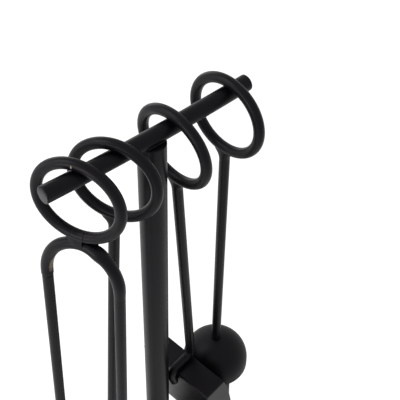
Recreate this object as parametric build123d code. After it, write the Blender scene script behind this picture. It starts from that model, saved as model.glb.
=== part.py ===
from build123d import *
import math
import os

# Foot
base_diameter = 200.0
base_thickness = 10.0
base_edge_round = 3.0
pad_diameter = 24.0
pad_thickness = 3.0
pad_circle_radius = 80.0
pad_count = 4
pad_first_angle = 45.0
screw_diameter = 10.0
screw_length = 34.0
screw_head_diameter = 20.0
screw_head_height = 5.5
screw_hole_clearance = 0.3
screw_socket_width = 6.0
screw_socket_depth = 3.5

# Post
post_diameter = 25.0
post_wall = 2.0
post_length = 595.5
post_edge_chamfer = 0.6
foot_plug_height = 30.0
top_plug_thickness = 8.0

# Hanging bar
bar_diameter = 15.0
bar_length = 206.2
bar_offset = 2.1
bar_rise = 2.7
bar_edge_round = 1.2
saddle_depth = 2.8

# Ring handles, all four alike, and the wire that they and the shanks are made of
wire_diameter = 10.0
ring_mean_diameter = 73.8
hang_clearance = 0.2
neck_height = 7.0
neck_half_width = 8.5
neck_half_thickness = 4.3
neck_bite = 2.0

# Where each tool hangs: place along the bar, turn of its ring, lean of its shank along and across the bar
tongs_station = -73.3
tongs_turn_angle = 26.3
tongs_lean_along_angle = 3.4
tongs_lean_across_angle = 1.6
poker_station = -36.8
poker_turn_angle = 27.7
poker_lean_along_angle = 3.8
poker_lean_across_angle = -0.3
shovel_station = 21.8
shovel_turn_angle = 4.8
shovel_lean_along_angle = -4.3
shovel_lean_across_angle = 0.0
brush_station = 82.9
brush_turn_angle = 4.8
brush_lean_along_angle = -0.3
brush_lean_across_angle = 0.2

# Tongs
arch_half_width = 34.3
arch_rise = 43.0
shoulder_run = 5.6
arch_clearance = 0.3
crown_gap = 0.6
leg_length = 400.0
leg_end_round = 3.0
grip_width = 20.0
grip_length = 56.0
grip_thickness = 4.0
grip_seat_depth = 1.5
grip_edge_round = 1.2
grip_overhang = 8.0

# Poker
poker_length = 540.0
poker_point_length = 34.0
poker_point_diameter = 3.0
hook_depth = 492.0
hook_reach = 36.0
hook_height = 26.0
hook_root_diameter = 8.5
hook_tip_diameter = 3.5
hook_sections = 6

# Shovel, depths measured from the bar's axis along the shank
shovel_bend_depth = 345.3
shovel_tail_length = 18.8
shovel_seat_depth = 0.4
pan_floor_angle = 11.0
pan_back_lean_angle = 8.4
pan_back_height = 26.9
pan_width = 98.0
pan_length = 150.0
pan_front_height = 3.0
pan_side_swell = 10.0
pan_sheet = 1.5
pan_bend_radius = 4.0

# Brush, depths measured from the bar's axis along the shank
dome_diameter = 73.2
dome_skirt = 7.5
dome_sheet = 1.5
dome_rim_depth = 393.5
dome_rim_round = 0.6
spigot_diameter = 6.0
spigot_length = 24.0
core_diameter = 43.0
core_inset = 5.0
bristle_backing_thickness = 3.0
bristle_depth = 500.0
bristle_tip_diameter = 39.0
bristle_root_diameter = 35.0
strand_count = 380
strand_diameter = 1.5
strand_sides = 3
strand_bite = 1.0

wire_radius = wire_diameter / 2
bar_radius = bar_diameter / 2
post_inner_radius = post_diameter / 2 - post_wall
screw_radius = screw_diameter / 2
ring_radius = ring_mean_diameter / 2
base_top = pad_thickness + base_thickness
post_top = base_top + post_length
bar_axis_height = post_top + bar_radius - saddle_depth
bar_arc_radius = ((bar_length / 2) ** 2 + bar_rise ** 2) / (2 * bar_rise)
ring_drop = ring_radius - wire_radius - bar_radius - hang_clearance
ring_foot = ring_drop + ring_radius
neck_foot = ring_foot + wire_radius + neck_height
crown_depth = ring_foot + wire_diameter + arch_clearance
arch_foot_depth = crown_depth + arch_rise
leg_top_depth = arch_foot_depth + shoulder_run
leg_foot_depth = leg_top_depth + leg_length
dome_radius = dome_diameter / 2
dome_height = dome_radius + dome_skirt
shovel_seat_offset = wire_radius - shovel_seat_depth
shovel_bend_radius = pan_bend_radius + shovel_seat_offset


def bar_height(station):
    return bar_axis_height + bar_arc_radius - math.sqrt(bar_arc_radius ** 2 - station ** 2)


def tool_frame(station, turn, lean_along, lean_across):
    # Origin on the bar's axis, Z up along the shank, Y across the ring in its own plane
    up = Vector(math.tan(math.radians(lean_along)), math.tan(math.radians(lean_across)), 1)
    across = Vector(-math.sin(math.radians(turn)), math.cos(math.radians(turn)), 0)
    return Plane(origin=(station, 0, bar_height(station)), x_dir=across.cross(up), z_dir=up)


def upright_cylinder(radius, low, high):
    return Pos(0, 0, low) * Cylinder(radius, high - low, align=(Align.CENTER, Align.CENTER, Align.MIN))


def swept_round(path, radius):
    return sweep(Plane(origin=path @ 0, z_dir=path % 0) * Circle(radius), path=path)


def handle_ring():
    return Pos(0, 0, -ring_drop) * Rot(0, 90, 0) * Torus(ring_radius, wire_radius)


def shank_neck():
    # Weld neck: round like the shank below, drawn out along the ring above, and coped to the ring
    lower = Plane.XY.offset(-neck_foot) * Circle(wire_radius)
    upper = Plane.XY.offset(-ring_foot - neck_bite) * Ellipse(neck_half_thickness, neck_half_width)
    return loft([lower, upper]) - handle_ring()


def make_base_plate():
    plate = upright_cylinder(base_diameter / 2, pad_thickness, base_top)
    plate = fillet(plate.edges().group_by(Axis.Z)[-1], base_edge_round)
    screw_hole = upright_cylinder(screw_radius + screw_hole_clearance, pad_thickness, base_top)
    return plate - screw_hole - screw_head()


def make_base_pads():
    pads = []
    for index in range(pad_count):
        place = Rot(0, 0, pad_first_angle + index * 360 / pad_count) * Pos(pad_circle_radius, 0, 0)
        pads.append(place * upright_cylinder(pad_diameter / 2, 0, pad_thickness))
    return Compound(children=pads)


def screw_head():
    cone = Cone(screw_head_diameter / 2, screw_radius, screw_head_height,
                align=(Align.CENTER, Align.CENTER, Align.MIN))
    return Pos(0, 0, pad_thickness) * cone


def make_base_screw():
    screw = screw_head() + upright_cylinder(screw_radius, pad_thickness, pad_thickness + screw_length)
    socket = RegularPolygon(screw_socket_width / 2, 6, major_radius=False)
    return screw - Pos(0, 0, pad_thickness) * extrude(socket, screw_socket_depth)


def make_hanging_bar():
    stations = (bar_offset - bar_length / 2, 0, bar_offset + bar_length / 2)
    path = ThreePointArc(*[(station, 0, bar_height(station)) for station in stations])
    bar = swept_round(path, bar_radius)
    return fillet([bar.faces().sort_by(Axis.X)[end].edges()[0] for end in (0, -1)], bar_edge_round)


def make_post_tube(bar):
    tube = upright_cylinder(post_diameter / 2, base_top, post_top)
    tube = chamfer(tube.edges().group_by(Axis.Z)[-1], post_edge_chamfer)
    return tube - upright_cylinder(post_inner_radius, base_top, post_top) - bar


def make_post_foot_plug():
    plug_top = base_top + foot_plug_height
    screw_hole = upright_cylinder(screw_radius, base_top, plug_top)
    return upright_cylinder(post_inner_radius, base_top, plug_top) - screw_hole


def make_post_top_plug(bar):
    return upright_cylinder(post_inner_radius, post_top - top_plug_thickness, post_top) - bar


def make_tongs_shoulder():
    # Half of the arch with a short straight run, from the crown to the top of the left leg
    arch_plane = Plane(origin=(0, 0, -arch_foot_depth), x_dir=(0, 1, 0), z_dir=(1, 0, 0))
    crown_angle = math.degrees(math.acos(crown_gap / 2 / arch_half_width))
    path = arch_plane * EllipticalCenterArc((0, 0), arch_half_width, arch_rise, arc_size=crown_angle)
    run = Pos(0, arch_half_width, 0) * upright_cylinder(wire_radius, -leg_top_depth, -arch_foot_depth)
    return swept_round(path, wire_radius) + run


def grip_seat_plane():
    seat_offset = arch_half_width - wire_radius + grip_seat_depth
    centre_depth = leg_foot_depth + grip_overhang - grip_length / 2
    return Plane(origin=(0, seat_offset, -centre_depth), x_dir=(0, 0, 1), z_dir=(0, -1, 0))


def make_tongs_leg():
    leg = Pos(0, arch_half_width, 0) * upright_cylinder(wire_radius, -leg_foot_depth, -leg_top_depth)
    leg = fillet(leg.edges().group_by(Axis.Z)[0], leg_end_round)
    return leg - grip_seat_plane() * extrude(SlotOverall(grip_length, grip_width), grip_seat_depth)


def make_tongs_grip():
    plate = extrude(SlotOverall(grip_length, grip_width), grip_thickness)
    plate = fillet(plate.edges().group_by(Axis.Z)[-1], grip_edge_round)
    return grip_seat_plane() * plate


def make_poker_rod():
    shoulder = poker_length - poker_point_length
    outline = Polyline(
        (0, -neck_foot), (wire_radius, -neck_foot), (wire_radius, -shoulder),
        (poker_point_diameter / 2, -poker_length), (0, -poker_length), (0, -neck_foot))
    return shank_neck() + revolve(Plane.XZ * make_face(outline), Axis.Z)


def make_poker_hook(rod):
    # Barb that leaves the rod sideways, turns up and tapers to its tip
    path = Spline((0, 0, -hook_depth), (0, -hook_reach, -hook_depth + hook_height),
                  tangents=[(0, -1, -1), (0, 0, 1)])
    sections = []
    for index in range(hook_sections):
        share = index / (hook_sections - 1)
        diameter = hook_root_diameter + (hook_tip_diameter - hook_root_diameter) * share
        sections.append(Plane(origin=path @ share, z_dir=path % share) * Circle(diameter / 2))
    return loft(sections) - rod


def pan_wall_angle():
    # Angle between the shank and the pan's back wall
    return math.radians(90 + pan_back_lean_angle - pan_floor_angle)


def pan_frame():
    # Origin at the foot of the back wall, X along the floor, Z into the pan
    wall = pan_wall_angle()
    floor = math.radians(pan_floor_angle)
    along_wall = Vector(-math.sin(wall), 0, -math.cos(wall))
    wall_normal = Vector(-math.cos(wall), 0, math.sin(wall))
    corner = Vector(0, 0, -shovel_bend_depth)
    return Plane(origin=corner - wall_normal * shovel_seat_offset + along_wall * pan_back_height,
                 x_dir=(math.sin(floor), 0, -math.cos(floor)), z_dir=(math.cos(floor), 0, math.sin(floor)))


def make_shovel_pan():
    # Folded sheet pan: filleted block, hollowed through its top and front
    lean = math.radians(pan_back_lean_angle)
    rim = (pan_back_height * math.sin(lean), pan_back_height * math.cos(lean))
    front = (pan_length, pan_front_height)
    middle = ((rim[0] + front[0]) / 2, (rim[1] + front[1]) / 2 + pan_side_swell)
    outline = make_face([
        Line((0, 0), (pan_length, 0)), Line((pan_length, 0), front),
        ThreePointArc(front, middle, rim), Line(rim, (0, 0))])
    block = extrude(Plane.XZ * outline, pan_width / 2, both=True)
    floor = block.faces().sort_by(Axis.Z)[0]
    back = block.faces().sort_by(Axis.X)[0]
    back_sides = [edge for edge in back.edges() if abs(edge.tangent_at(0).Y) < abs(edge.tangent_at(0).Z)]
    floor_edges = [edge for edge in floor.edges() if edge.center().X < pan_length]
    block = fillet(floor_edges + back_sides, pan_bend_radius)
    open_faces = [block.faces().sort_by(Axis.X)[-1], block.faces().sort_by(Axis.Z)[-1]]
    return pan_frame() * offset(block, -pan_sheet, openings=open_faces)


def make_shovel_rod():
    # Straight shank, bent to lie along the pan's back wall and again round the fold to end under its floor
    lean = math.radians(pan_back_lean_angle)
    fold = -shovel_seat_offset * (1 + math.sin(lean)) / math.cos(lean)
    ends = (fold, shovel_tail_length)
    corners = [pan_frame().from_local_coords((along, 0, -shovel_seat_offset)) for along in ends]
    path = FilletPolyline((0, 0, -neck_foot), (0, 0, -shovel_bend_depth), *corners, radius=shovel_bend_radius)
    return shank_neck() + swept_round(path, wire_radius)


def rim_plane():
    return Plane(origin=(0, 0, -dome_rim_depth))


def dome_form(radius):
    # Half ball on a straight skirt
    ball = Sphere(radius, 0, 90, align=(Align.CENTER, Align.CENTER, Align.MIN))
    return upright_cylinder(radius, 0, dome_skirt) + Pos(0, 0, dome_skirt) * ball


def spigot():
    return upright_cylinder(spigot_diameter / 2, dome_height - spigot_length, dome_height)


def make_brush_rod():
    shank = upright_cylinder(wire_radius, -dome_rim_depth, -neck_foot) - rim_plane() * dome_form(dome_radius)
    return shank_neck() + shank + rim_plane() * spigot()


def make_brush_dome():
    shell = dome_form(dome_radius) - dome_form(dome_radius - dome_sheet) - spigot()
    shell = fillet(shell.edges().group_by(Axis.Z)[0], dome_rim_round)
    return rim_plane() * shell


def make_brush_core():
    column = upright_cylinder(core_diameter / 2, core_inset, dome_height)
    return rim_plane() * ((column & dome_form(dome_radius - dome_sheet)) - spigot())


def make_brush_bristles():
    # Strands on a sunflower spiral, spreading a little from root to tip, in a slice of their backing
    backing_low = core_inset - bristle_backing_thickness
    root_height = backing_low + strand_bite
    tip_height = dome_rim_depth - bristle_depth
    golden_turn = math.pi * (3 - math.sqrt(5))
    strands = []
    for index in range(strand_count):
        reach = math.sqrt((index + 1) / strand_count) / 2
        heading = Vector(math.cos(index * golden_turn), math.sin(index * golden_turn), 0)
        root = heading * (reach * bristle_root_diameter) + Vector(0, 0, root_height)
        tip = heading * (reach * bristle_tip_diameter) + Vector(0, 0, tip_height)
        section = Pos(root) * RegularPolygon(strand_diameter / 2, strand_sides)
        strands.append(Solid.extrude(section.face(), tip - root))
    backing = upright_cylinder(core_diameter / 2, backing_low, core_inset)
    return rim_plane() * backing.fuse(*strands)


tongs_frame = tool_frame(tongs_station, tongs_turn_angle, tongs_lean_along_angle, tongs_lean_across_angle)
poker_frame = tool_frame(poker_station, poker_turn_angle, poker_lean_along_angle, poker_lean_across_angle)
shovel_frame = tool_frame(
    shovel_station, shovel_turn_angle, shovel_lean_along_angle, shovel_lean_across_angle)
brush_frame = tool_frame(brush_station, brush_turn_angle, brush_lean_along_angle, brush_lean_across_angle)

hanging_bar = make_hanging_bar()
poker_rod = make_poker_rod()
shovel_pan = make_shovel_pan()
left_arm = {"shoulder": make_tongs_shoulder(), "leg": make_tongs_leg(), "grip": make_tongs_grip()}

nodes = {
    "base_plate": make_base_plate(),
    "base_pads": make_base_pads(),
    "base_screw": make_base_screw(),
    "post_tube": make_post_tube(hanging_bar),
    "post_foot_plug": make_post_foot_plug(),
    "post_top_plug": make_post_top_plug(hanging_bar),
    "hanging_bar": hanging_bar,
    "tongs_ring": tongs_frame * handle_ring(),
    "poker_ring": poker_frame * handle_ring(),
    "poker_rod": poker_frame * poker_rod,
    "poker_hook": poker_frame * make_poker_hook(poker_rod),
    "shovel_ring": shovel_frame * handle_ring(),
    "shovel_rod": shovel_frame * (make_shovel_rod() - shovel_pan),
    "shovel_pan": shovel_frame * shovel_pan,
    "brush_ring": brush_frame * handle_ring(),
    "brush_rod": brush_frame * make_brush_rod(),
    "brush_dome": brush_frame * make_brush_dome(),
    "brush_core": brush_frame * make_brush_core(),
    "brush_bristles": brush_frame * make_brush_bristles(),
}
for piece, solid in left_arm.items():
    nodes[f"tongs_left_{piece}"] = tongs_frame * solid
    nodes[f"tongs_right_{piece}"] = tongs_frame * mirror(solid, about=Plane.XZ)

os.makedirs("parts", exist_ok=True)
for name, solid in nodes.items():
    export_step(solid, f"parts/{name}.step")
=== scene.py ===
import bpy
import numpy as np
from mathutils import Matrix


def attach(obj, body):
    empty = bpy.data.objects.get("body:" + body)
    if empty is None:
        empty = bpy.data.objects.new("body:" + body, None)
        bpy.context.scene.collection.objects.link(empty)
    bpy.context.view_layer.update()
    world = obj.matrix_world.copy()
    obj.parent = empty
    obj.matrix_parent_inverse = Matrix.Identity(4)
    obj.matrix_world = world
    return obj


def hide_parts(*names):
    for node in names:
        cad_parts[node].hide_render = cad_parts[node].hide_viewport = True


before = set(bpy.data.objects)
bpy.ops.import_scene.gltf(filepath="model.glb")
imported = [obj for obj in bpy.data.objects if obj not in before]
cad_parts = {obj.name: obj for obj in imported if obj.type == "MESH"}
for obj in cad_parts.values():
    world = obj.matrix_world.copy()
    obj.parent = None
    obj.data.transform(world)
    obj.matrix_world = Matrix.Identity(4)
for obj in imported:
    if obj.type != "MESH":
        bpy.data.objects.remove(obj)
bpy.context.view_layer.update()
print("frame loaded:", len(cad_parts), "nodes")

mm = 0.001
tau = 2 * np.pi

stand = {"barHeight": 613.2, "barRadius": 7.5, "barLeft": -104.5, "barRight": 105.2, "barRise": 2.7,
         "barRiseAt": 103.1, "postRadius": 12.5, "postInner": 10.5, "postLow": 13.0, "postTop": 608.5,
         "postEdge": 0.7}
wire = {"radius": 5.0, "ringRadius": 36.9, "ringDrop": 24.2}
hang = {  # station on the bar, turn of the ring, lean along and across the bar (mm, degrees)
    "tongs": (-73.3, 26.3, 3.4, 1.6), "poker": (-36.8, 27.7, 3.8, -0.3),
    "shovel": (21.8, 4.8, -4.3, 0.0), "brush": (82.9, 4.8, -0.3, 0.2)}


def srgb(code):  # sRGB hex to linear, with alpha
    part = np.array([int(code[i:i + 2], 16) for i in (1, 3, 5)]) / 255
    return (*np.where(part <= 0.04045, part / 12.92, ((part + 0.055) / 1.055) ** 2.4), 1.0)


def addNode(tree, kind, settings=None, links=None, stops=()):
    # settings go to node properties or unlinked sockets, links name the sockets that feed this node,
    # and stops are the places and hex colours of a colour ramp
    node = tree.nodes.new(kind)
    for key, value in (settings or {}).items():
        if isinstance(key, str) and hasattr(node, key):
            setattr(node, key, value)
        else:
            node.inputs[key].default_value = value
    for key, source in (links or {}).items():
        tree.links.new(source, node.inputs[key])
    for i, (place, code) in enumerate(stops):
        spots = node.color_ramp.elements
        spot = spots[i] if i < len(spots) else spots.new(place)
        spot.position, spot.color = place, srgb(code)
    return node


def newMaterial(name):
    made = bpy.data.materials.new(name)
    made.use_nodes = True
    made.node_tree.nodes.clear()
    return made, made.node_tree


def finishMaterial(tree, shaderSettings, shaderLinks):
    shader = addNode(tree, "ShaderNodeBsdfPrincipled", shaderSettings, shaderLinks)
    addNode(tree, "ShaderNodeOutputMaterial", links={"Surface": shader.outputs[0]})


coatLook = {"gloss": 0.12, "dark": "#09080a", "pale": "#0d0b0e", "rough": 0.36, "sheen": "#fbf6ff", "worn": "#a89b8d",
            "roughSpread": (-0.05, 0.07), "cloudMm": 28, "scuffMm": 1.6, "scuffFrom": -0.42}


def powderCoat(name, peelMm, peelHeightMm, rougher=0.0, **other):
    # matt black polyester powder baked on mild steel: soft sheen, fine orange peel, dusty
    # handling marks; the wear attribute rubs it through to greyed, burnished coat
    look = {**coatLook, **other}
    rough = look["rough"] + rougher
    made, tree = newMaterial(name)
    place = addNode(tree, "ShaderNodeTexCoord").outputs["Object"]
    peel = addNode(tree, "ShaderNodeTexNoise", {"Scale": 1 / (peelMm * mm), "Detail": 2.0, "Roughness": 0.55},
                   {"Vector": place})
    cloud = addNode(tree, "ShaderNodeTexNoise", {"Scale": 1 / (look["cloudMm"] * mm), "Detail": 5.0, "Roughness": 0.6},
                    {"Vector": place})
    colour = addNode(tree, "ShaderNodeValToRGB", None, {"Fac": cloud.outputs["Fac"]},
                     [(0.32, look["dark"]), (0.72, look["pale"])])
    wear = addNode(tree, "ShaderNodeAttribute", {"attribute_name": "wear"}).outputs["Fac"]
    scuff = addNode(tree, "ShaderNodeTexNoise", {"Scale": 1 / (look["scuffMm"] * mm), "Detail": 6.0, "Roughness": 0.75},
                    {"Vector": place})
    patchy = addNode(tree, "ShaderNodeMath", {"operation": "MULTIPLY_ADD", 2: look["scuffFrom"]},
                     {0: scuff.outputs["Fac"], 1: wear})
    lifted = addNode(tree, "ShaderNodeMath", {"operation": "ADD", "use_clamp": True}, {0: patchy.outputs[0], 1: wear})
    rubbed = addNode(tree, "ShaderNodeMix", {"data_type": "RGBA", 7: srgb(look["worn"])},
                     {0: lifted.outputs[0], 6: colour.outputs["Color"]})
    least, most = (rough + spread for spread in look["roughSpread"])
    sheen = addNode(tree, "ShaderNodeMapRange", {"To Min": least, "To Max": most},
                    {"Value": cloud.outputs["Fac"]})
    bump = addNode(tree, "ShaderNodeBump", {"Strength": 1.0, "Distance": peelHeightMm * mm},
                   {"Height": peel.outputs["Fac"]})
    finishMaterial(tree, {"IOR": 1.5, "Specular IOR Level": look["gloss"], "Specular Tint": srgb(look["sheen"])},
                   {"Base Color": rubbed.outputs[2], "Roughness": sheen.outputs[0], "Normal": bump.outputs[0]})
    return made


def filament():
    # black polypropylene filament, drawn and cut: smooth along its length, paler where cut ends catch dust
    made, tree = newMaterial("blackPolypropyleneFilament")
    along = addNode(tree, "ShaderNodeAttribute", {"attribute_name": "along"}).outputs["Fac"]
    each = addNode(tree, "ShaderNodeAttribute", {"attribute_name": "strand"}).outputs["Fac"]
    tone = addNode(tree, "ShaderNodeValToRGB", None, {"Fac": each}, [(0.0, "#0b0b0c"), (1.0, "#1a1a1c")])
    dusty = addNode(tree, "ShaderNodeMapRange", {"From Min": 0.9, "From Max": 1.0, "To Max": 0.35}, {"Value": along})
    colour = addNode(tree, "ShaderNodeMix", {"data_type": "RGBA", 7: srgb("#4a4846")},
                     {0: dusty.outputs[0], 6: tone.outputs["Color"]})
    finishMaterial(tree, {"IOR": 1.49, "Roughness": 0.42}, {"Base Color": colour.outputs[2]})
    return made


def mouldedRubber():
    # black rubber, compression moulded: dull, faintly mottled, no gloss
    made, tree = newMaterial("mouldedBlackRubber")
    place = addNode(tree, "ShaderNodeTexCoord").outputs["Object"]
    grain = addNode(tree, "ShaderNodeTexNoise", {"Scale": 1 / (0.8 * mm), "Detail": 4.0}, {"Vector": place})
    bump = addNode(tree, "ShaderNodeBump", {"Strength": 1.0, "Distance": 0.05 * mm}, {"Height": grain.outputs["Fac"]})
    tone = addNode(tree, "ShaderNodeValToRGB", None, {"Fac": grain.outputs["Fac"]},
                   [(0.3, "#171717"), (0.75, "#232322")])
    finishMaterial(tree, {"IOR": 1.52, "Roughness": 0.78},
                   {"Base Color": tone.outputs["Color"], "Normal": bump.outputs[0]})
    return made


def zincPlate():
    # bright zinc on a turned steel screw: fine rings round its axis, dulled patches; a wave texture repeats
    # about every third of its unit
    made, tree = newMaterial("turnedZincPlatedSteel")
    place = addNode(tree, "ShaderNodeTexCoord").outputs["Object"]
    rings = addNode(tree, "ShaderNodeTexWave", {"wave_type": "RINGS", "rings_direction": "Z", "Distortion": 0.4,
                                                "Scale": 1 / (1.2 * mm) / 3}, {"Vector": place})
    dull = addNode(tree, "ShaderNodeTexNoise", {"Scale": 1 / (5 * mm), "Detail": 3.0}, {"Vector": place})
    bump = addNode(tree, "ShaderNodeBump", {"Strength": 0.5, "Distance": 0.03 * mm}, {"Height": rings.outputs["Fac"]})
    gloss = addNode(tree, "ShaderNodeMapRange", {"To Min": 0.28, "To Max": 0.46}, {"Value": dull.outputs["Fac"]})
    tone = addNode(tree, "ShaderNodeValToRGB", None, {"Fac": dull.outputs["Fac"]},
                   [(0.3, "#9d9fa3"), (0.7, "#b9bbbe")])
    finishMaterial(tree, {"Metallic": 1.0}, {"Base Color": tone.outputs["Color"], "Roughness": gloss.outputs[0],
                                             "Normal": bump.outputs[0]})
    return made


def turnedNylon():
    # black nylon turned on a lathe: fine feed lines, low sheen
    made, tree = newMaterial("turnedBlackNylon")
    place = addNode(tree, "ShaderNodeTexCoord").outputs["Object"]
    feed = addNode(tree, "ShaderNodeTexNoise", {"Scale": 1 / (1.5 * mm), "Detail": 3.0}, {"Vector": place})
    bump = addNode(tree, "ShaderNodeBump", {"Strength": 1.0, "Distance": 0.04 * mm}, {"Height": feed.outputs["Fac"]})
    tone = addNode(tree, "ShaderNodeValToRGB", None, {"Fac": feed.outputs["Fac"]},
                   [(0.3, "#101011"), (0.7, "#19191b")])
    finishMaterial(tree, {"IOR": 1.53, "Roughness": 0.5},
                   {"Base Color": tone.outputs["Color"], "Normal": bump.outputs[0]})
    return made


blackCoat = powderCoat("mattBlackPowderCoatedSteel", peelMm=1.1, peelHeightMm=0.012)
barCoat = powderCoat("mattBlackPowderCoatedBar", peelMm=1.1, peelHeightMm=0.012, worn="#8f8f90")
weldCoat = powderCoat("powderCoatedWeldBead", peelMm=0.7, peelHeightMm=0.06, rougher=0.04)
domeCoat = powderCoat("mattBlackPowderCoatedDome", peelMm=1.1, peelHeightMm=0.03, rougher=0.14)
footCoat = powderCoat("mattBlackPowderCoatedFoot", peelMm=1.4, peelHeightMm=0.05, rougher=0.06, dark="#0b0a0c",
                      pale="#100f11")
rubberSkin, zincSkin, nylonSkin, bristleSkin = mouldedRubber(), zincPlate(), turnedNylon(), filament()
print("materials made:", len(bpy.data.materials))


def meshFromGrid(name, grid, skin, body, stands=(), closeAlong=False, capStart=None, capEnd=None,
                 sharpAngle=40, wear=None):
    # grid[i, j] is a surface point: j runs round the section and closes on itself, i runs along the
    # shape and may close too; a cap is a pole point that closes the first or last row with a fan
    rows, cols = grid.shape[:2]
    points = grid.reshape(-1, 3)
    i, j = np.meshgrid(np.arange(rows if closeAlong else rows - 1), np.arange(cols), indexing="ij")
    i2, j2 = (i + 1) % rows, (j + 1) % cols
    faces = np.stack([i * cols + j, i * cols + j2, i2 * cols + j2, i2 * cols + j], -1).reshape(-1, 4).tolist()
    fan = np.arange(cols)
    if capStart is not None:
        points = np.vstack([points, capStart])
        faces += np.stack([np.full(cols, len(points) - 1), (fan + 1) % cols, fan], -1).tolist()
    if capEnd is not None:
        points = np.vstack([points, capEnd])
        last = (rows - 1) * cols
        faces += np.stack([np.full(cols, len(points) - 1), last + fan, last + (fan + 1) % cols], -1).tolist()
    mesh = bpy.data.meshes.new(name)
    mesh.from_pydata((points * mm).tolist(), [], faces)
    return placePiece(name, mesh, skin, body, stands, sharpAngle, wear)


def placePiece(name, mesh, skin, body, stands, sharpAngle=40, wear=None):
    mesh.polygons.foreach_set("use_smooth", np.ones(len(mesh.polygons), bool))
    mesh.set_sharp_from_angle(angle=np.radians(sharpAngle))
    if wear is not None:
        at = np.zeros(len(mesh.vertices) * 3, np.float32)
        mesh.vertices.foreach_get("co", at)
        field = mesh.attributes.new("wear", "FLOAT", "POINT")
        field.data.foreach_set("value", np.clip(wear(at.reshape(-1, 3) / mm), 0, 1).astype(np.float32))
    mesh.materials.append(skin)
    mesh.update()
    piece = bpy.data.objects.new(name, mesh)
    bpy.context.scene.collection.objects.link(piece)
    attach(piece, body)
    if stands:
        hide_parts(*stands)
    return piece


def loop(count):  # angles round a closed section
    return np.arange(count) * tau / count


def tube(path, wide, thick, side, sections=40):
    # section = centre + wide*cos*side + thick*sin*(tangent x side), carried along the path
    tangent = np.gradient(path, axis=0)
    tangent /= np.linalg.norm(tangent, axis=1)[:, None]
    side = np.broadcast_to(side, path.shape)
    other = np.cross(tangent, side)
    turn = loop(sections)
    wide, thick = np.broadcast_to(wide, len(path)), np.broadcast_to(thick, len(path))
    return (path[:, None] + wide[:, None, None] * np.cos(turn)[None, :, None] * side[:, None]
            + thick[:, None, None] * np.sin(turn)[None, :, None] * other[:, None])


def spun(radius, height, sections=96):
    # radius and height of an outline, turned about the Z axis
    turn = loop(sections)
    flat = np.stack([np.cos(turn), np.sin(turn)], -1)
    ring = radius[:, None, None] * flat[None]
    return np.concatenate([ring, np.broadcast_to(height[:, None, None], ring.shape[:2] + (1,))], -1)


def barHeightAt(x):  # arc of a circle through the bar's middle and its measured rise near the ends
    arc = (stand["barRiseAt"] ** 2 + stand["barRise"] ** 2) / (2 * stand["barRise"])
    return stand["barHeight"] + arc - np.sqrt(arc ** 2 - x ** 2)


def toolAxes(tool):  # origin on the bar's axis and the tool's normal, across and up directions
    x, turn, along, across = hang[tool]
    rise = np.array([np.tan(np.radians(along)), np.tan(np.radians(across)), 1])
    rise /= np.linalg.norm(rise)
    flat = np.array([-np.sin(np.radians(turn)), np.cos(np.radians(turn)), 0])
    normal = np.cross(flat, rise)
    normal /= np.linalg.norm(normal)
    return np.array([x, 0, barHeightAt(x)]), np.stack([normal, np.cross(rise, normal), rise])


def toWorld(tool, local):  # local x, y, z in the tool's frame to the shared frame
    origin, axes = toolAxes(tool)
    return origin + local @ axes


def toLocal(tool, world):  # and the other way
    origin, axes = toolAxes(tool)
    return (world - origin) @ axes.T


def bumpAt(x, centre, width):  # bell of height 1
    return np.exp(-((x - centre) / width) ** 2)


ringLook = {"seams": {"tongs": (-79, -98), "poker": (128,), "shovel": (142,), "brush": (118,)},
            "seamDepth": {"tongs": (0.13, 0.28), "poker": 0.08, "shovel": 0.08, "brush": 0.08},
            "seamWidth": 0.45, "crown": 0.06, "crownWidth": 2.4, "rubHeight": 7.3, "rubTall": 2.2, "rubWidth": 6.0,
            "rubWear": 0.33, "nick": (-4.8, 1.6, 13.4), "nickSize": (1.6, 0.7, 1.5), "nickWear": 1.1, "nickAngle": 88}


def ringPiece(tool):
    # torus of the wire radius round the ring's centre, cut by a fine groove at each butt seam
    seams = np.radians(ringLook["seams"][tool])
    near = (np.append(seams, np.radians(ringLook["nickAngle"]))[:, None] + np.linspace(-0.09, 0.09, 41)[None]).ravel()
    around = np.unique(np.mod(np.concatenate([loop(220), near]), tau).round(6))  # closer at the seams and the nick
    run = wire["ringRadius"]
    away = (np.mod(around[:, None] - seams[None] + np.pi, tau) - np.pi) * run
    groove = np.array(ringLook["seamDepth"][tool]) * bumpAt(away, 0, ringLook["seamWidth"])
    crown = ringLook["crown"] * bumpAt(away, 0, ringLook["crownWidth"])
    radius = wire["radius"] + (crown - groove).sum(1) - ringLook["crown"]
    turn = loop(44)
    reach = run + radius[:, None] * np.cos(turn)
    local = np.stack([-radius[:, None] * np.sin(turn), reach * np.cos(around)[:, None],
                      reach * np.sin(around)[:, None] - wire["ringDrop"]], -1)

    def rubbed(world):  # burnished where the ring rides on the bar, and one nick through the coat
        at = toLocal(tool, world)
        inner = bumpAt(at[:, 2], ringLook["rubHeight"], ringLook["rubTall"]) * bumpAt(at[:, 1], 0, ringLook["rubWidth"])
        nick = bumpAt(at, np.array(ringLook["nick"]), np.array(ringLook["nickSize"])).prod(1)
        return ringLook["rubWear"] * inner + (ringLook["nickWear"] * nick if tool == "tongs" else 0)

    return meshFromGrid(f"{tool}RingWire", toWorld(tool, local), blackCoat, tool, stands=(f"{tool}_ring",),
                        closeAlong=True, wear=rubbed)


for tool in hang:
    ringPiece(tool)
print("rings made")


shank = {"neckWide": 10.6, "neckShift": 1.1, "neckThick": 4.8, "neckStart": 3.0, "neckReach": 11.0, "neckPower": 2.2,
         "top": 62.4, "fineRun": 14.0}


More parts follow.
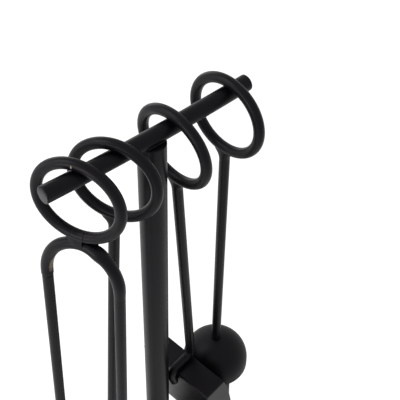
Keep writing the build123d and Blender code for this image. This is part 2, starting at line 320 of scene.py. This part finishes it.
def neckShape(depth):
    # half widths of the shank and its shift to the left: flared along the ring in a hollow weld curve near it
    start = wire["ringDrop"] + wire["ringRadius"] + shank["neckStart"]
    flare = (1 - np.clip((depth - start) / shank["neckReach"], 0, 1)) ** shank["neckPower"]
    shift = np.stack([0 * flare, shank["neckShift"] * flare, 0 * flare], -1)
    return (wire["radius"] + (shank["neckThick"] - wire["radius"]) * flare,
            wire["radius"] + (shank["neckWide"] - wire["radius"]) * flare, shift)


def straightRun(high, low):  # depths, close together in the weld neck
    fine = high + shank["fineRun"]
    return np.concatenate([np.linspace(high, fine, 24), np.linspace(fine + 1, low, 60)])


def downPath(depth):  # points straight down a tool's own axis
    return np.stack([0 * depth, 0 * depth, -depth], -1)


pokerLook = {"straight": 500.0, "taperFrom": 506.0, "tip": 540.0, "tipShare": 0.3, "tipWear": 0.8}


def pokerShank():
    # straight round rod, drawn to a blunt forged point over its last stretch
    straight, taperFrom, tip = pokerLook["straight"], pokerLook["taperFrom"], pokerLook["tip"]
    depth = np.concatenate([straightRun(shank["top"], straight), np.linspace(straight + 1, tip, 30)])
    thick, wide, shift = neckShape(depth)
    point = np.clip((depth - taperFrom) / (tip - taperFrom), 0, 1)
    taper = 1 - point + point * pokerLook["tipShare"]
    path = downPath(depth) + shift
    grid = tube(path, thick * taper, wide * taper, np.array([1.0, 0, 0]))

    def rubbed(world):  # worn bare towards the tip
        low = -toLocal("poker", world)[:, 2]
        return pokerLook["tipWear"] * np.clip((low - straight) / (tip - straight), 0, 1)

    return meshFromGrid("pokerShank", toWorld("poker", grid), blackCoat, "poker", stands=("poker_rod",),
                        capStart=toWorld("poker", path[:1]), capEnd=toWorld("poker", path[-1:]), sharpAngle=50,
                        wear=rubbed)


shovelBend = {"depth": 345.3, "radius": 8.6, "seat": 4.6, "tail": 18.8, "wallHeight": 26.9, "floorAngle": 11.0,
              "backLean": 8.4, "endEase": 0.08}


def bentPath(corners, radius, count=22):
    # straight runs between corners, each inner corner replaced by an arc that leaves one run and
    # meets the next at the same distance from the corner: radius over the tangent of half their angle
    pieces = []
    for before, here, after in zip(corners[:-2], corners[1:-1], corners[2:]):
        back, on = (before - here) / np.linalg.norm(before - here), (after - here) / np.linalg.norm(after - here)
        half = np.arccos(back @ on) / 2
        middle = (back + on) / np.linalg.norm(back + on)
        centre = here + middle * radius / np.sin(half)
        side = (on - back) / np.linalg.norm(on - back)
        turn = np.linspace(half - np.pi / 2, np.pi / 2 - half, count)[:, None]
        pieces.append(centre - radius * np.cos(turn) * middle + radius * np.sin(turn) * side)
    return pieces


def panFrame():
    # the fold's outer corner, and the directions along the floor and into the pan, in the shovel's frame
    lean, floor = np.radians(shovelBend["backLean"]), np.radians(shovelBend["floorAngle"])
    wall = np.pi / 2 + lean - floor
    alongWall = np.array([-np.sin(wall), 0, -np.cos(wall)])
    outWall = np.array([-np.cos(wall), 0, np.sin(wall)])
    fold = alongWall * shovelBend["wallHeight"] - outWall * shovelBend["seat"] - np.array([0, 0, shovelBend["depth"]])
    return fold, np.array([np.sin(floor), 0, -np.cos(floor)]), np.array([np.cos(floor), 0, np.sin(floor)])


def shovelPath():
    # down the shank, along the back wall's outside, round the fold and a little way under the floor
    fold, alongFloor, inFloor = panFrame()
    lean, seat = np.radians(shovelBend["backLean"]), shovelBend["seat"]
    corner, foot = np.array([0, 0, -shovelBend["depth"]]), fold - inFloor * seat
    under = foot - alongFloor * seat * (1 + np.sin(lean)) / np.cos(lean)
    tail = foot + alongFloor * shovelBend["tail"]
    first, second = bentPath([np.zeros(3), corner, under, tail], shovelBend["radius"])
    share = np.linspace(0, 1, 12)[1:-1, None]
    straight = downPath(straightRun(shank["top"], -first[0, 2] - 0.6))  # ends just short of the first arc
    return np.concatenate([straight, first, first[-1] + share * (second[0] - first[-1]), second,
                           second[-1] + share * (tail - second[-1]), [tail]])


def shovelShank():
    # round section carried along that path, its cut end eased
    path = shovelPath()
    thick, wide, shift = neckShape(-path[:, 2])
    path = path + shift
    lastTwo = np.clip((np.arange(len(path)) - (len(path) - 3)) / 2, 0, 1)
    ease = 1 - shovelBend["endEase"] * lastTwo ** 2
    grid = tube(path, wide * ease, thick * ease, np.array([0.0, 1, 0]))
    return meshFromGrid("shovelShank", toWorld("shovel", grid), blackCoat, "shovel", stands=("shovel_rod",),
                        capStart=toWorld("shovel", path[:1]), capEnd=toWorld("shovel", path[-1:]), sharpAngle=50)


panLook = {  # pairs: along the sides and back, then along the open front
    "width": 98.0, "length": 150.0, "frontHeight": 3.0, "swell": 10.0, "sheet": 1.5, "backCorner": 3.2,
    "frontCorner": 2.4, "fold": (2.0, 0.4), "innerFold": (0.6, 0.08), "edge": (0.35, 0.05), "lip": 0.25}


def panRim(x):  # height of the sides: circle through the wall's rim, the front and a raised middle
    lean, tall = np.radians(shovelBend["backLean"]), shovelBend["wallHeight"]
    ends = np.array([[tall * np.sin(lean), tall * np.cos(lean)], [panLook["length"], panLook["frontHeight"]]])
    spots = np.vstack([ends, ends.mean(0) + np.array([0, panLook["swell"]])])
    cx, cz, rest = np.linalg.solve(np.column_stack([2 * spots, np.ones(3)]), (spots ** 2).sum(1))
    return cz + np.sqrt(rest + cx ** 2 + cz ** 2 - (np.maximum(x, ends[0, 0]) - cx) ** 2)


def panOutline():
    # rounded rectangle, counter-clockwise from the front's left corner: points and outward directions
    long, half, front, back = panLook["length"], panLook["width"] / 2, panLook["frontCorner"], panLook["backCorner"]
    corners, facing = [], []
    for k, (x, y, radius) in enumerate(((long - front, half - front, front), (back, half - back, back),
                                        (back, back - half, back), (long - front, front - half, front))):
        turn = np.linspace(0, np.pi / 2, 10) + k * np.pi / 2
        facing.append(np.stack([np.cos(turn), np.sin(turn)], -1))
        corners.append(np.array([x, y]) + radius * facing[-1])
    at, out = [], []
    share = np.linspace(0, 1, 70)[1:-1, None]
    for k in range(4):
        first, last = corners[k][-1], corners[(k + 1) % 4][0]
        at += [corners[k], first + share * (last - first)]
        out += [facing[k], np.repeat(facing[k][-1:], len(share), 0)]
    return np.concatenate(at), np.concatenate(out)


def shovelPan():
    # sheet over a rounded rectangle: out from the floor's middle, round the fold, up the wall, over its rim
    # and the same way back inside; the back leans by a shear that fades to nothing at the open front
    at, out = panOutline()
    front, sheet, long = np.clip(out[:, 0], 0, 1), panLook["sheet"], panLook["length"]
    fold, inner, edge = (panLook[key][0] + (panLook[key][1] - panLook[key][0]) * front
                         for key in ("fold", "innerFold", "edge"))
    lean = np.tan(np.radians(shovelBend["backLean"]))
    rim = panRim(at[:, 0] + shovelBend["wallHeight"] * lean * (1 - at[:, 0] / long))
    rim = rim + (sheet + panLook["lip"] - rim) * front
    bend, share = np.linspace(0, np.pi / 2, 9)[:, None], np.linspace(0, 1, 16)[1:-1, None]
    sin, cos, none = np.sin(bend), np.cos(bend), 0 * share * fold
    inset = np.concatenate([fold * (1 - sin), none, edge * (1 - cos), sheet - edge * (1 - sin), sheet + none,
                            sheet + inner * (1 - cos)])
    high = np.concatenate([fold * (1 - cos), fold + share * (rim - edge - fold), rim - edge * (1 - sin),
                           rim - edge * (1 - cos), rim - edge + share * (sheet + inner - rim + edge),
                           sheet + inner * (1 - sin)])
    flat, middle = at - out * inset[..., None], np.array([long / 2, 0])
    spread = np.linspace(0.05, 1, 14)[:-1, None, None]
    flat = np.concatenate([middle + spread * (flat[:1] - middle), flat, middle + spread[::-1] * (flat[-1:] - middle)])
    level = np.zeros((len(spread), len(at)))
    high = np.concatenate([level, high, level + sheet])
    origin, alongFloor, inFloor = panFrame()

    def placed(x, y, z):  # along the floor, across and up from it, sheared and set in the shared frame
        x = x + z * lean * (1 - x / long)
        local = x[..., None] * alongFloor + y[..., None] * np.array([0, 1.0, 0]) + z[..., None] * inFloor
        return toWorld("shovel", origin + local)

    poles = placed(np.full(2, long / 2), np.zeros(2), np.array([0, sheet]))
    return meshFromGrid("shovelPan", placed(flat[..., 0], flat[..., 1], high), blackCoat, "shovel",
                        stands=("shovel_pan",), capStart=poles[:1], capEnd=poles[1:], sharpAngle=50)


domeLook = {"radius": 36.6, "sheet": 1.5, "skirt": 7.5, "rim": 393.5, "topAngle": 85}


def brushShank():
    # straight round rod from its weld neck to the top of the dome
    depth = straightRun(shank["top"], domeLook["rim"] - domeLook["skirt"] - domeLook["radius"] + domeLook["sheet"])
    thick, wide, shift = neckShape(depth)
    path = downPath(depth) + shift
    grid = tube(path, thick, wide, np.array([1.0, 0, 0]))
    return meshFromGrid("brushShank", toWorld("brush", grid), blackCoat, "brush", stands=("brush_rod",),
                        capStart=toWorld("brush", path[:1]), capEnd=toWorld("brush", path[-1:]), sharpAngle=50)


pokerShank(), shovelShank(), shovelPan(), brushShank()
print("shanks and pan made")


tongsLook = {"half": 34.3, "rise": 43.0, "crown": 71.4, "run": 5.6, "legLength": 400.0, "crownGap": 0.3,
             "seatFlat": 1.5, "seatAbove": 48.0, "endRound": 3.0, "seamDepth": {"Left": 0.3, "Right": 0.06},
             "seamWidth": 0.7, "fineRun": 4.0, "swell": 0.5, "swellRun": {"Left": 1.5, "Right": 14.0},
             "swellFade": 20.0, "flow": {"Left": 0.0, "Right": 0.9}, "flowAt": 16.0, "flowWidth": 7.0}
streakLook = {"wear": {"Left": 1.15, "Right": 0.0}, "side": 29.4, "curl": 2.2, "curlTall": 13.4, "curlMost": 1.6,
              "wide": 1.7, "front": -1.6, "deep": 2.6, "height": -104, "tall": 12, "low": -115, "fade": 1.2}
archFoot = tongsLook["crown"] + tongsLook["rise"]
legTop = archFoot + tongsLook["run"]


def tongsShoulder(sign, word):
    # a short straight run, then half of an ellipse in the ring's plane up to the crown, round in section
    # and a little thicker than the leg until it nears the crown, where weld has flowed along the right one
    start = np.arccos(tongsLook["crownGap"] / tongsLook["half"])
    turn = np.linspace(0, start, 72)
    side = sign * tongsLook["half"]
    arc = np.stack([0 * turn, side * np.cos(turn), tongsLook["rise"] * np.sin(turn) - archFoot], -1)
    run = downPath(np.linspace(legTop, archFoot, 24)[:-1]) + np.array([0, side, 0])
    path = np.concatenate([run, arc])
    fromLeg = np.concatenate([[0], np.cumsum(np.linalg.norm(np.diff(path, axis=0), axis=1))])
    toCrown = fromLeg[-1] - fromLeg
    swell = tongsLook["swell"] * np.clip(fromLeg / tongsLook["swellRun"][word], 0, 1)
    swell = swell * np.clip(toCrown / tongsLook["swellFade"], 0, 1)
    swell += tongsLook["flow"][word] * bumpAt(toCrown, tongsLook["flowAt"], tongsLook["flowWidth"])
    radius = wire["radius"] + swell - tongsLook["seamDepth"][word] * bumpAt(fromLeg, 0, tongsLook["seamWidth"])
    grid = tube(path, radius, radius, np.array([1.0, 0, 0]))

    def rubbed(world):  # a bare streak on the inside of the left bend, down to the seam
        at = toLocal("tongs", world)
        lift = np.clip((at[:, 2] + archFoot) / streakLook["curlTall"], 0, streakLook["curlMost"])
        inside = bumpAt(at[:, 1], streakLook["side"] - streakLook["curl"] * lift ** 2, streakLook["wide"])
        inside = inside * bumpAt(at[:, 0], streakLook["front"], streakLook["deep"])
        aboveSeam = np.clip((at[:, 2] - streakLook["low"]) / streakLook["fade"], 0, 1)
        tall = bumpAt(at[:, 2], streakLook["height"], streakLook["tall"])
        return streakLook["wear"][word] * inside * tall * aboveSeam

    return meshFromGrid(f"tongs{word}Shoulder", toWorld("tongs", grid), blackCoat, f"tongs_{word.lower()}_arm",
                        stands=(f"tongs_{word.lower()}_shoulder",), wear=rubbed,
                        capStart=toWorld("tongs", path[:1]), capEnd=toWorld("tongs", path[-1:]))


def tongsLeg(sign, word):
    # straight round leg with a grooved butt seam on top, rounded and flattened for its grip below
    low, end = legTop + tongsLook["legLength"], tongsLook["endRound"]
    fine = legTop + tongsLook["fineRun"]
    depth = np.concatenate([np.linspace(legTop, fine, 22), np.linspace(fine + 1, low - end - 0.2, 60),
                            low - end + end * np.sin(np.linspace(0, np.pi / 2, 12))])
    ease = np.clip((depth - (low - end)) / end, 0, 1)
    groove = tongsLook["seamDepth"][word] * bumpAt(depth, legTop, tongsLook["seamWidth"])
    radius = wire["radius"] - groove - end * (1 - np.sqrt(1 - ease ** 2 + 1e-9))
    path = downPath(depth) + np.array([0, sign * tongsLook["half"], 0])
    local = tube(path, radius, radius, np.array([1.0, 0, 0]))
    flat = tongsLook["half"] - wire["radius"] + tongsLook["seatFlat"]
    seated = -local[..., 2] > low - tongsLook["seatAbove"]
    local[..., 1] = np.where(seated & (sign * local[..., 1] < flat), sign * flat, local[..., 1])
    return meshFromGrid(f"tongs{word}Leg", toWorld("tongs", local), blackCoat, f"tongs_{word.lower()}_arm",
                        stands=(f"tongs_{word.lower()}_leg",), capStart=toWorld("tongs", path[:1]),
                        capEnd=toWorld("tongs", path[-1:]))


for sign, word in ((1, "Left"), (-1, "Right")):
    tongsShoulder(sign, word)
    tongsLeg(sign, word)
print("tongs made")


def postTube():
    # outline of the tube's wall, turned about its axis, with a broken outer edge on top
    high, low, outer, inner = stand["postTop"], stand["postLow"], stand["postRadius"], stand["postInner"]
    edge, turn = stand["postEdge"], np.linspace(0, np.pi / 2, 8)
    radius = np.concatenate([[inner], np.full(40, outer), outer - edge + edge * np.cos(turn), [inner]])
    height = np.concatenate([[low], np.linspace(low, high - edge - 0.05, 40), high - edge + edge * np.sin(turn),
                             [high]])
    return meshFromGrid("postTube", spun(radius, height), blackCoat, "stand", stands=("post_tube",), closeAlong=True,
                        sharpAngle=50)


barLook = {"ease": 1.3, "endRun": 2.0, "endWear": 0.38, "endFade": 0.9, "restWear": 0.2, "restWidth": 5.0}


def hangingBar():
    # round bar along a shallow arc, its cut ends eased by a small radius
    left, right, radius = stand["barLeft"], stand["barRight"], stand["barRadius"]
    ease, run = barLook["ease"], barLook["endRun"]
    inset = ease * (1 - np.cos(np.linspace(0, np.pi / 2, 9)))
    x = np.concatenate([left + inset, np.linspace(left + run, right - run, 120), (right - inset)[::-1]])
    near = np.clip(ease - np.minimum(x - left, right - x), 0, ease)
    section = radius - ease + np.sqrt(ease ** 2 - near ** 2 + 1e-9)
    path = np.stack([x, 0 * x, barHeightAt(x)], -1)
    grid = tube(path, section, section, np.array([0.0, 1, 0]), 56)

    def rubbed(world):  # the cut ends are knocked bare, and the rings burnish their places
        end = np.clip(1 - np.minimum(world[:, 0] - left, right - world[:, 0]) / barLook["endFade"], 0, 1)
        rests = sum(bumpAt(world[:, 0], hang[tool][0], barLook["restWidth"]) for tool in hang)
        top = np.clip((world[:, 2] - barHeightAt(world[:, 0])) / radius, 0, 1) ** 3
        return barLook["endWear"] * end + barLook["restWear"] * rests * top

    return meshFromGrid("hangingBar", grid, barCoat, "stand", stands=("hanging_bar",), sharpAngle=60,
                        capStart=path[:1], capEnd=path[-1:], wear=rubbed)


plateLook = {"radius": 100.0, "low": 3.0, "top": 13.0, "roll": 3.0, "edge": 0.4, "flatFrom": 12.0, "hole": 5.3,
             "sink": 10.2, "sinkTop": 8.2}


def basePlate():
    # disc outline with a rolled upper edge and a countersunk hole, turned about the post's axis
    wide, low, top, roll = plateLook["radius"], plateLook["low"], plateLook["top"], plateLook["roll"]
    edge, hole, turn = plateLook["edge"], plateLook["hole"], np.linspace(0, np.pi / 2, 12)
    radius = np.concatenate([[hole], np.linspace(plateLook["flatFrom"], wide - roll - 1, 30),
                             wide - roll + roll * np.sin(turn), [wide, wide - edge], [plateLook["sink"], hole]])
    height = np.concatenate([[top], np.full(30, top), top - roll + roll * np.cos(turn), [low + edge, low],
                             [low, plateLook["sinkTop"]]])
    return meshFromGrid("basePlate", spun(radius, height, 160)[::-1], footCoat, "stand", stands=("base_plate",),
                        closeAlong=True, sharpAngle=50)


postTube(), hangingBar(), basePlate()
print("stand made")


def brushDome():
    # quarter circle outside, straight skirt, rolled rim, then the same inside, turned about the shank
    outer, inner, skirt = domeLook["radius"], domeLook["radius"] - domeLook["sheet"], domeLook["skirt"]
    lift = np.linspace(np.radians(domeLook["topAngle"]), 0, 60)
    fall = np.linspace(skirt, domeLook["sheet"] / 2, 8)[1:]
    roll = np.linspace(0, np.pi, 12)[1:-1]
    middle, half = (outer + inner) / 2, domeLook["sheet"] / 2
    radius = np.concatenate([outer * np.cos(lift), outer + 0 * fall, middle + half * np.cos(roll),
                             inner + 0 * fall, inner * np.cos(lift[::-1])])
    height = np.concatenate([skirt + outer * np.sin(lift), fall, half - half * np.sin(roll),
                             fall[::-1], skirt + inner * np.sin(lift[::-1])])
    local = spun(radius, height - domeLook["rim"], 120)
    return meshFromGrid("brushDome", toWorld("brush", local)[::-1], domeCoat, "brush", stands=("brush_dome",),
                        closeAlong=True, sharpAngle=50)


bristleLook = {"count": 2100, "rootReach": 18.4, "tipReach": 19.4, "mostReach": 19.9, "rootDepth": 390.5,
               "tipDepth": 499.5, "sway": 0.55, "uneven": 1.3, "thick": 0.42, "thinner": 0.25, "curve": 1.5,
               "seed": 7}


def brushBristles():
    # strands start on a sunflower spiral and spread towards their tips in a slight curve, each a
    # four-sided tube of six sections with its own length and lean
    rng = np.random.default_rng(bristleLook["seed"])
    count, rows, sides = bristleLook["count"], 6, 4
    turn = np.arange(count) * np.pi * (3 - np.sqrt(5))
    share = np.sqrt((np.arange(count) + 0.5) / count)
    t = np.linspace(0, 1, rows)
    root, tip = bristleLook["rootReach"], bristleLook["tipReach"]
    reach = share[:, None] * (root + (tip - root) * t ** bristleLook["curve"])
    sway = rng.normal(0, bristleLook["sway"], (count, 2))[:, None] * (t ** 2)[None, :, None]
    flat = reach[..., None] * np.stack([np.cos(turn), np.sin(turn)], -1)[:, None] + sway
    far = np.linalg.norm(flat, axis=-1, keepdims=True)
    flat *= np.minimum(1, bristleLook["mostReach"] / np.maximum(far, 1e-6))
    shorter = np.abs(rng.normal(0, bristleLook["uneven"], count))
    length = bristleLook["tipDepth"] - bristleLook["rootDepth"] - shorter
    depth = bristleLook["rootDepth"] + t[None] * length[:, None]
    centre = np.concatenate([flat, -depth[..., None]], -1)
    square = loop(sides)[None] + rng.uniform(0, tau, count)[:, None]
    thick = bristleLook["thick"] * (1 - bristleLook["thinner"] * t)
    ring = np.stack([np.cos(square), np.sin(square), 0 * square], -1)[:, None] * thick[None, :, None, None]
    points = toWorld("brush", (centre[:, :, None] + ring).reshape(-1, 3))
    first = np.arange(count)[:, None, None] * rows * sides + np.arange(rows - 1)[None, :, None] * sides
    a, b = np.arange(sides), (np.arange(sides) + 1) % sides
    quads = np.stack([first + a, first + sides + a, first + sides + b, first + b], -1).reshape(-1, 4)
    roots = np.arange(count)[:, None] * rows * sides + np.arange(sides)[None]
    tips = roots + (rows - 1) * sides
    mesh = bpy.data.meshes.new("brushBristles")
    mesh.from_pydata((points * mm).tolist(), [], quads.tolist() + tips[:, ::-1].tolist() + roots.tolist())
    each = rng.uniform(0, 1, count)
    for name, values in (("along", t[None, :, None]), ("strand", each[:, None, None])):
        values = np.broadcast_to(values, (count, rows, sides)).ravel().astype(np.float32)
        mesh.attributes.new(name, "FLOAT", "POINT").data.foreach_set("value", values)
    return placePiece("brushBristles", mesh, bristleSkin, "brush", ("brush_bristles",), sharpAngle=30)


backingLook = {"radius": 21.4, "hub": 0.4, "ease": 0.5, "dish": 0.1, "low": 2.0, "high": 5.0}


def bristleBacking():
    # round slice that holds the strands, its lower edge eased, turned about the shank
    wide, ease, dish, low = (backingLook[key] for key in ("radius", "ease", "dish", "low"))
    radius = np.array([backingLook["hub"], wide - ease, wide, wide])
    height = np.array([low, low + dish, low + dish + ease, backingLook["high"]])
    poles = np.array([[0, 0, low], [0, 0, backingLook["high"]]]) - np.array([0, 0, domeLook["rim"]])
    local, poles = spun(radius, height - domeLook["rim"], 72), toWorld("brush", poles)
    return meshFromGrid("bristleBacking", toWorld("brush", local), nylonSkin, "brush", capStart=poles[:1],
                        capEnd=poles[1:])


brushDome(), brushBristles(), bristleBacking()
print("brush made")


def smoothCopy(node, name, skin, body):
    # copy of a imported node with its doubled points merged, shaded smooth except at its real edges
    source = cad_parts[node].data
    at = np.zeros(len(source.vertices) * 3, np.float32)
    source.vertices.foreach_get("co", at)
    corner = np.zeros(len(source.loops), np.int32)
    source.loops.foreach_get("vertex_index", corner)
    spots, which = np.unique(at.reshape(-1, 3).round(7), axis=0, return_inverse=True)
    faces = which.ravel()[corner].reshape(-1, 3)
    faces = faces[(faces[:, 0] != faces[:, 1]) & (faces[:, 1] != faces[:, 2]) & (faces[:, 0] != faces[:, 2])]
    merged = bpy.data.meshes.new(name)
    merged.from_pydata(spots.tolist(), [], faces.tolist())
    return placePiece(name, merged, skin, body, (node,), sharpAngle=32)


for node, name, skin, body, slot in (
        ("poker_hook", "pokerHook", blackCoat, "poker", "black_steel"),
        ("tongs_left_grip", "tongsLeftGrip", blackCoat, "tongs_left_arm", "black_steel"),
        ("tongs_right_grip", "tongsRightGrip", blackCoat, "tongs_right_arm", "black_steel"),
        ("post_top_plug", "postTopPlug", blackCoat, "stand", "black_steel"),
        ("post_foot_plug", "postFootPlug", zincSkin, "stand", "black_steel"),
        ("base_screw", "baseScrew", zincSkin, "stand", "screw_steel"),
        ("base_pads", "basePads", rubberSkin, "stand", "rubber"),
        ("brush_core", "brushCore", nylonSkin, "brush", "core_plastic")):
    smoothCopy(node, name, skin, body)
print("carried-over pieces smoothed")


def beadEnd(share, least):  # quarter of an ellipse from a bead's end, never quite closed
    return np.sqrt(np.clip(share, least, 1))


beadLook = {"reach": 10.6, "out": 5.6, "lift": 0.5, "half": 1.9, "tall": 1.5, "rippleMm": 1.6, "ripple": 0.08,
            "fade": 1.5}


def postWeld(sign, word):
    # rounded bead beside the bar on the post's top, swelling in regular ripples and fading at both ends
    x = np.linspace(-beadLook["reach"], beadLook["reach"], 90)
    path = np.stack([x, sign * (beadLook["out"] + 0 * x), stand["postTop"] + beadLook["lift"] + 0 * x], -1)
    run = x - x[0]
    ends = beadEnd(np.minimum(run, run[-1] - run) / beadLook["fade"], 0.02)
    swell = (1 + beadLook["ripple"] * np.sin(tau * run / beadLook["rippleMm"])) * ends
    grid = tube(path, beadLook["half"] * swell, beadLook["tall"] * swell, np.array([0.0, 1, 0]), 20)
    meshFromGrid(f"postWeld{word}", grid, weldCoat, "stand", capStart=path[:1], capEnd=path[-1:], sharpAngle=60)


crownLook = {"start": -4.2, "end": 13.0, "thick": 5.06, "thinEnd": 2.6, "square": 0.45, "spreadFrom": 3.5,
             "spreadPower": 1.2, "sink": 1.0, "under": 3.4, "lift": 6.4, "startRun": 0.8, "startFade": 0.6,
             "endFade": 3.0, "endTall": 0.6}


def squared(turn):  # cosine or sine to a low power, which squares off a round section
    return np.sign(turn) * np.abs(turn) ** crownLook["square"]


def crownWeld():
    # web between the ring's foot and the arch: a squared-off section carried along the ring's plane, flush
    # with both wires near the crown and thinning towards the left arm
    start, end, spreadFrom = crownLook["start"], crownLook["end"], crownLook["spreadFrom"]
    run = crownLook["startRun"]
    y = np.concatenate([start + np.linspace(0, run, 8) ** 2, np.linspace(start + run, end, 60)])
    ringLine = -wire["ringDrop"] - np.sqrt(wire["ringRadius"] ** 2 - y ** 2)
    archLine = tongsLook["rise"] * np.sqrt(1 - (y / tongsLook["half"]) ** 2) - archFoot
    spread = np.clip((y - spreadFrom) / (end - spreadFrom), 0, 1) ** crownLook["spreadPower"]
    top, low = ringLine - crownLook["sink"], archLine - crownLook["under"] + crownLook["lift"] * spread
    fade = beadEnd(np.minimum((y - y[0]) / crownLook["startFade"], (y[-1] - y) / crownLook["endFade"]), 0.001)
    thick = (crownLook["thick"] + (crownLook["thinEnd"] - crownLook["thick"]) * spread) * fade
    turn = loop(40)
    endTall = crownLook["endTall"]
    middle, tall = (top + low) / 2, (top - low) / 2 * (endTall + (1 - endTall) * fade)
    local = np.stack([thick[:, None] * squared(np.cos(turn)), np.broadcast_to(y[:, None], (len(y), len(turn))),
                      middle[:, None] - tall[:, None] * squared(np.sin(turn))], -1)
    ends = np.stack([0 * y, y, middle], -1)
    meshFromGrid("crownWeld", toWorld("tongs", local), weldCoat, "tongs", capStart=toWorld("tongs", ends[:1]),
                 capEnd=toWorld("tongs", ends[-1:]), sharpAngle=60)


backWeldLook = {"start": -15.0, "end": -3.8, "off": 4.2, "back": 2.4, "thick": 1.9, "least": 0.8, "fade": 4.0,
                "endTall": 0.55}


def crownBackWeld():
    # web on the far side of the crown, set back from the front, that fills the narrow gap over the right arm
    y = np.linspace(backWeldLook["start"], backWeldLook["end"], 48)
    off, least = backWeldLook["off"], backWeldLook["least"]
    ringLine = -wire["ringDrop"] - np.sqrt((wire["ringRadius"] + off) ** 2 - y ** 2)
    archLine = (tongsLook["rise"] + off) * np.sqrt(1 - (y / (tongsLook["half"] + off)) ** 2) - archFoot
    middle, tall = (ringLine + archLine) / 2, np.maximum((ringLine - archLine) / 2 + least, least)
    path = np.stack([backWeldLook["back"] + 0 * y, y, middle], -1)
    fade, endTall = beadEnd((y - y[0]) / backWeldLook["fade"], 0.01), backWeldLook["endTall"]
    tall = tall * (endTall + (1 - endTall) * fade)
    grid = tube(path, backWeldLook["thick"] * fade, tall, np.array([1.0, 0, 0]), 28)
    meshFromGrid("crownBackWeld", toWorld("tongs", grid), weldCoat, "tongs", capStart=toWorld("tongs", path[:1]),
                 capEnd=toWorld("tongs", path[-1:]), sharpAngle=60)


for sign, word in ((1, "Back"), (-1, "Front")):
    postWeld(sign, word)
crownWeld(), crownBackWeld()
print("welds made")


studio = {"room": 0.26, "floorGlow": 0.8, "floorSize": 6.0, "paper": "#c4c4c4", "white": "#ffffff",
          "boxSize": (0.8, 0.8), "aim": (0, 0, 0.5)}
softboxes = {  # place in metres and watts
    "keyLeft": ((-1.38, -0.15, 0.7), 10.5), "keyAbove": ((-0.77, 0.62, 1.49), 7.3),
    "fillBehind": ((-1.08, 0.87, 0.7), 3.3), "rimBehind": ((0.36, 1.34, 0.7), 2.6)}


def showsWhite(tree):
    # 1 for the rays that show the background: from the camera, off a gloss and through clear things
    path = addNode(tree, "ShaderNodeLightPath")
    bright = addNode(tree, "ShaderNodeMath", {"operation": "ADD"},
                     {0: path.outputs["Is Camera Ray"], 1: path.outputs["Is Glossy Ray"]})
    return addNode(tree, "ShaderNodeMath", {"operation": "ADD", "use_clamp": True},
                   {0: bright.outputs[0], 1: path.outputs["Is Transmission Ray"]}).outputs[0]


def stageFloor():
    # pale paper that reads white and still takes the object's shadow
    made, tree = newMaterial("palePaperFloor")
    paper = addNode(tree, "ShaderNodeBsdfDiffuse", {"Color": srgb(studio["paper"])})
    shown = addNode(tree, "ShaderNodeMath", {"operation": "MULTIPLY", 1: studio["floorGlow"]}, {0: showsWhite(tree)})
    glow = addNode(tree, "ShaderNodeEmission", {"Color": srgb(studio["white"])}, {"Strength": shown.outputs[0]})
    both = addNode(tree, "ShaderNodeAddShader", links={0: paper.outputs[0], 1: glow.outputs[0]})
    addNode(tree, "ShaderNodeOutputMaterial", links={"Surface": both.outputs[0]})
    size = studio["floorSize"]
    mesh = bpy.data.meshes.new("floor")
    mesh.from_pydata([(-size, -size, 0), (size, -size, 0), (size, size, 0), (-size, size, 0)], [], [(0, 1, 2, 3)])
    mesh.materials.append(made)
    floor = bpy.data.objects.new("floor", mesh)
    bpy.context.scene.collection.objects.link(floor)


def softbox(name, place, watts):
    # square lamp turned to the aim point, unseen by the camera
    data = bpy.data.lights.new(name, "AREA")
    data.shape, data.size, data.size_y, data.energy = "RECTANGLE", *studio["boxSize"], watts
    lamp = bpy.data.objects.new(name, data)
    back = np.array(place) - np.array(studio["aim"])
    back /= np.linalg.norm(back)
    right = np.cross((0, 0, 1), back)
    right /= np.linalg.norm(right)
    turn = np.eye(4)
    turn[:3, 0], turn[:3, 1], turn[:3, 2], turn[:3, 3] = right, np.cross(back, right), back, place
    lamp.matrix_world = Matrix(turn.tolist())
    lamp.visible_camera = False
    bpy.context.scene.collection.objects.link(lamp)


def studioWorld():
    # even soft light from a plain room, seen as white behind the floor's far edge
    world = bpy.data.worlds.new("plainRoom")
    world.use_nodes = True
    tree = world.node_tree
    tree.nodes.clear()
    glow = addNode(tree, "ShaderNodeMath", {"operation": "MAXIMUM", 1: studio["room"]}, {0: showsWhite(tree)})
    sky = addNode(tree, "ShaderNodeBackground", {"Color": srgb(studio["white"])}, {"Strength": glow.outputs[0]})
    addNode(tree, "ShaderNodeOutputWorld", links={"Surface": sky.outputs[0]})
    bpy.context.scene.world = world


shot = {"place": (-0.327871, -0.41139, 1.079724), "right": (0.746704, -0.664818, 0.021405),
        "up": (0.464204, 0.543883, 0.699074), "forward": (0.476393, 0.512065, -0.714732),
        "focalPixels": 877.806, "framePixels": 400}


def photoCamera():
    # place, directions and focal length as solved from the photo's edges
    data = bpy.data.cameras.new("photoCamera")
    data.sensor_fit, data.sensor_width = "HORIZONTAL", 36.0
    data.lens = shot["focalPixels"] / shot["framePixels"] * data.sensor_width
    data.clip_start, data.clip_end = 0.01, 50
    camera = bpy.data.objects.new("photoCamera", data)
    turn = np.eye(4)
    turn[:3, 0], turn[:3, 1], turn[:3, 2] = shot["right"], shot["up"], -np.array(shot["forward"])
    turn[:3, 3] = shot["place"]
    camera.matrix_world = Matrix(turn.tolist())
    bpy.context.scene.collection.objects.link(camera)
    bpy.context.scene.camera = camera


stageFloor()
studioWorld()
for name, (place, watts) in softboxes.items():
    softbox(name, place, watts)
photoCamera()
bpy.context.scene.view_settings.view_transform = "Standard"
print("stage set")
